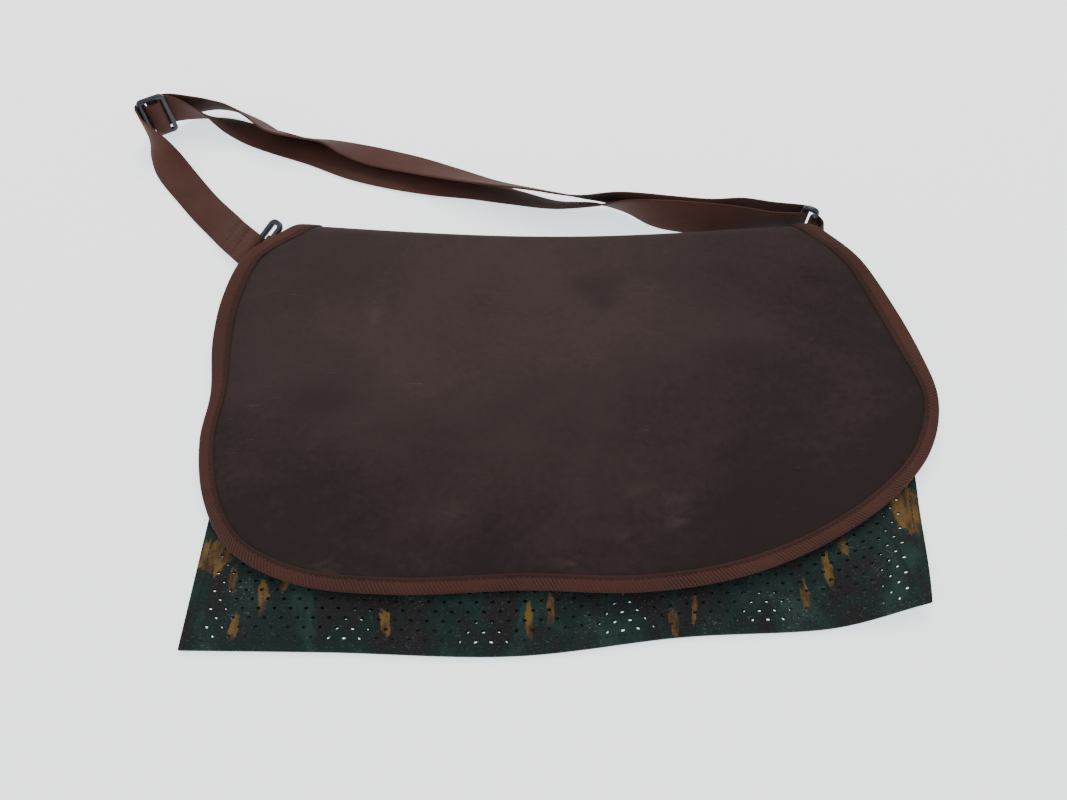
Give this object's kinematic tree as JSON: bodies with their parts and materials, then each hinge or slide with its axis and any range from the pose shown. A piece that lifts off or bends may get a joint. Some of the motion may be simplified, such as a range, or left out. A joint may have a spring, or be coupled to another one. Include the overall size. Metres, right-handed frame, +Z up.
{
  "type": "game bag",
  "caption": "Flat perforated-mesh game bag with a tape-bound suede flap folded over its mouth and an adjustable webbing shoulder strap on plastic rings at its top corners.",
  "frame": {"origin": "on the table, on the underside of the back panel, near the middle of the bag", "axes": "+X across the bag to its right, +Y from the pouch's bottom to the flap's fold, +Z up from the table the bag lies on"},
  "size_m": [0.5504, 0.4255, 0.0344],
  "materials": {
    "mesh": "perforated camouflage mesh cloth, dull",
    "suede": "worn dark brown suede, dull",
    "tape": "reddish brown woven tape, dull",
    "webbing": "reddish brown woven webbing, dull",
    "plastic": "dark moulded plastic, half gloss"
  },
  "bodies": {
    "root": {"back_panel": "mesh", "front_panel": "mesh", "flap": "suede", "flap_binding": "tape", "ring_left": "plastic", "ring_right": "plastic", "tab_left": "webbing", "tab_right": "webbing", "adjuster": "plastic", "strap": "webbing"}
  },
  "joints": []
}
